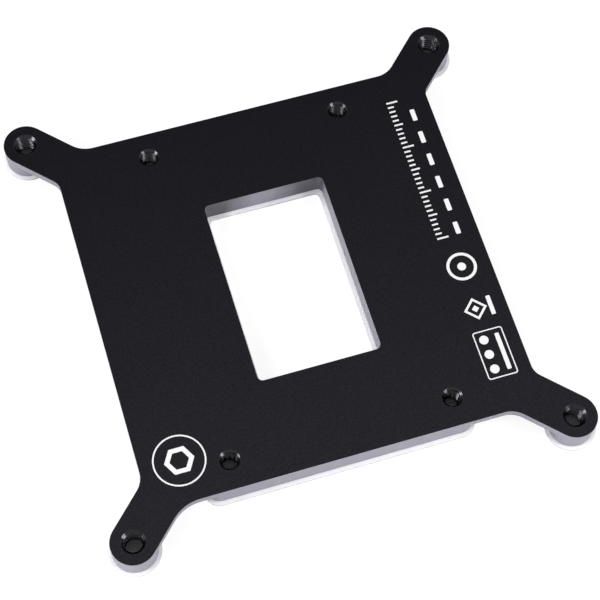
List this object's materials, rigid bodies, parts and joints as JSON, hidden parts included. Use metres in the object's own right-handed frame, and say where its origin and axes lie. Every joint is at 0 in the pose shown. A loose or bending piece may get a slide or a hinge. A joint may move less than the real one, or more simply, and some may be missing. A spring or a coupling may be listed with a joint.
{
  "type": "cpu backplate",
  "caption": "Square milled processor backplate with screw ears at its corners, a central socket window, a raised platform and adhesive pads under it.",
  "frame": {"origin": "under the middle of the plate, on the surface that the pads stand on", "axes": "+Z out of the black outer face, away from the board; +X and +Y along the rows of ear holes, with the narrower pair of socket screws on the +Y side"},
  "size_m": [0.0894, 0.0894, 0.0055],
  "materials": {
    "plate": "satin black coating on the outer face and in the screw holes, bare machined metal on the sides and the underside",
    "pad": "matt white film"
  },
  "bodies": {
    "root": {"backplate": "plate", "socket_pad": "pad", "ear_pad_rear_left": "pad", "ear_pad_rear_right": "pad", "ear_pad_front_left": "pad", "ear_pad_front_right": "pad"}
  },
  "joints": []
}
